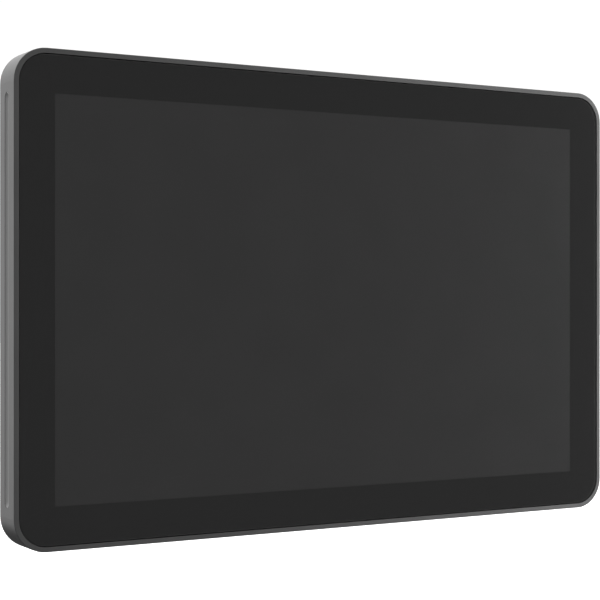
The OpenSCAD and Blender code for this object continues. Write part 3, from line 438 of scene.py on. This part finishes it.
def thread_rows(x, z, start, turns):
    """Sections of an M4 thread's ridge round the axis at x, z, from start towards +Y."""
    crest_r = 1.66 * MM
    root_r = 2.02 * MM
    root_half = 0.45
    crest_half = 0.08
    per_turn = 28
    rows = []
    for i in range(int(turns * per_turn) + 1):
        turn = i / per_turn
        angle = 2 * math.pi * turn
        fade = min(1.0, turn * 2, (turns - turn) * 2 + 0.05)
        inner_r = root_r - (root_r - crest_r) * fade
        y = start + M4_PITCH * turn
        section = [(root_r, -root_half), (inner_r, -crest_half), (inner_r, crest_half), (root_r, root_half)]
        out_x = math.cos(angle)
        out_z = math.sin(angle)
        rows.append([(x + r * out_x, y + h * M4_PITCH, z + r * out_z) for r, h in section])
    return rows


def add_insert_threads():
    """The M4 thread inside each brass insert, as a helical ridge."""
    insert_r = 2.8 * MM
    deep_gap = 0.6 * MM
    mouth_gap = 0.5 * MM
    low, high = (Vector(c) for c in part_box("mount_inserts"))
    start = low.y + deep_gap
    turns = (high.y - mouth_gap - start) / M4_PITCH - 1
    data = bmesh.new()
    for x in (low.x + insert_r, high.x - insert_r):
        for z in (low.z + insert_r, high.z - insert_r):
            skin(data, thread_rows(x, z, start, turns))
    piece = add_piece("insert_threads", data, "housing", "brass")
    for face in piece.data.polygons:
        face.use_smooth = True


add_button_marks()
add_insert_threads()


# ---------- stage ----------

# The camera stands to the left, level with the middle of the screen, and is placed from the model's front
CAMERA_FROM_FRONT = Vector((-0.29946, -0.48663, -0.00058))
CAMERA_YAW = math.radians(30.2)
# Lens and sensor in millimetres
LENS = 94.66
SENSOR_WIDTH = 36.0
SHIFT_Y = 0.00305
FLOOR_Z = -0.42
FLOOR_SIZE = 30.0

# Brightness of the world against a direction's own coordinate: X for the front, Z for the back
WORLD_STRENGTH = 2.0
WORLD_FRONT_TO_BACK = [(-0.4, 0.0), (0.5, 1.0)]
WORLD_FRONT = [(-1.0, 0.25), (0.2, 0.25), (0.6, 0.27), (1.0, 0.5)]
WORLD_BACK = [(-0.6, 0.0), (-0.35, 0.09), (-0.18, 0.58), (0.02, 0.70), (0.5, 0.92), (1.0, 0.85)]
BACKDROP_STRENGTH = 1.05


def add_camera():
    data = bpy.data.cameras.new("camera")
    data.lens = LENS
    data.sensor_width = SENSOR_WIDTH
    data.shift_y = SHIFT_Y
    data.clip_start = 0.01
    camera = bpy.data.objects.new("camera", data)
    camera.location = CAMERA_FROM_FRONT + Vector((0, CAD_BOX[0][1], 0))
    camera.rotation_euler = (math.radians(90), 0, -CAMERA_YAW)
    bpy.context.collection.objects.link(camera)
    bpy.context.scene.camera = camera


def add_floor():
    """A pale floor that only the camera sees, so it throws no light on the object."""
    half = FLOOR_SIZE / 2
    corners = [(x * half, y * half, FLOOR_Z) for x, y in ((-1, -1), (1, -1), (1, 1), (-1, 1))]
    mesh = bpy.data.meshes.new("floor")
    mesh.from_pydata(corners, [], [(0, 1, 2, 3)])
    floor = bpy.data.objects.new("floor", mesh)
    bpy.context.collection.objects.link(floor)
    n = Nodes("floor")
    n.set(Base_Color=(0.9, 0.9, 0.9, 1.0), Roughness=0.9, Emission_Color=(1, 1, 1, 1), Emission_Strength=0.75)
    mesh.materials.append(n.material)
    floor.visible_diffuse = False
    floor.visible_glossy = False
    floor.visible_transmission = False


def add_world():
    """White to the camera. To the object, a studio: an even, dim front and a pale back that fades below."""
    world = bpy.data.worlds.new("studio")
    world.use_nodes = True
    tree = world.node_tree
    tree.nodes.clear()
    link = tree.links.new

    def node(kind, **values):
        made = tree.nodes.new("ShaderNode" + kind)
        for name, value in values.items():
            setattr(made, name, value)
        return made

    def ramp(source, stops):
        """A grey that follows stops of (direction's coordinate, value) as source goes from -1 to 1."""
        made = node("ValToRGB")
        made.color_ramp.interpolation = "EASE"
        elements = made.color_ramp.elements
        while len(elements) < len(stops):
            elements.new(0.5)
        for element, (position, value) in zip(elements, stops):
            element.position = (position + 1) / 2
            element.color = (value, value, value, 1.0)
        unit = node("MapRange")
        unit.inputs["From Min"].default_value = -1.0
        link(source, unit.inputs["Value"])
        link(unit.outputs["Result"], made.inputs["Fac"])
        return made.outputs["Color"]

    axes = node("SeparateXYZ")
    link(node("TexCoord").outputs["Generated"], axes.inputs["Vector"])
    blend = node("Mix", data_type="RGBA")
    link(ramp(axes.outputs["Y"], WORLD_FRONT_TO_BACK), blend.inputs["Factor"])
    link(ramp(axes.outputs["X"], WORLD_FRONT), blend.inputs["A"])
    link(ramp(axes.outputs["Z"], WORLD_BACK), blend.inputs["B"])
    lit = node("Background")
    link(blend.outputs["Result"], lit.inputs["Color"])
    lit.inputs["Strength"].default_value = WORLD_STRENGTH
    white = node("Background")
    white.inputs["Color"].default_value = (1, 1, 1, 1)
    white.inputs["Strength"].default_value = BACKDROP_STRENGTH
    path = node("LightPath")
    choose = node("MixShader")
    link(path.outputs["Is Camera Ray"], choose.inputs["Fac"])
    link(lit.outputs["Background"], choose.inputs[1])
    link(white.outputs["Background"], choose.inputs[2])
    out = node("OutputWorld")
    link(choose.outputs["Shader"], out.inputs["Surface"])
    bpy.context.scene.world = world


def add_softbox(name, at, target, width, height, power):
    """A rectangular lamp at one point, turned to face another."""
    data = bpy.data.lights.new(name, "AREA")
    data.shape = "RECTANGLE"
    data.size = width
    data.size_y = height
    data.energy = power
    light = bpy.data.objects.new(name, data)
    light.location = at
    light.rotation_euler = (Vector(target) - Vector(at)).to_track_quat("-Z", "Y").to_euler()
    bpy.context.collection.objects.link(light)


bpy.context.scene.view_settings.view_transform = "Standard"
add_camera()
add_floor()
add_world()
add_softbox("right_softbox", at=(1.48, -0.75, 0.2), target=(0.1, 0, 0), width=1.0, height=1.6, power=22.0)
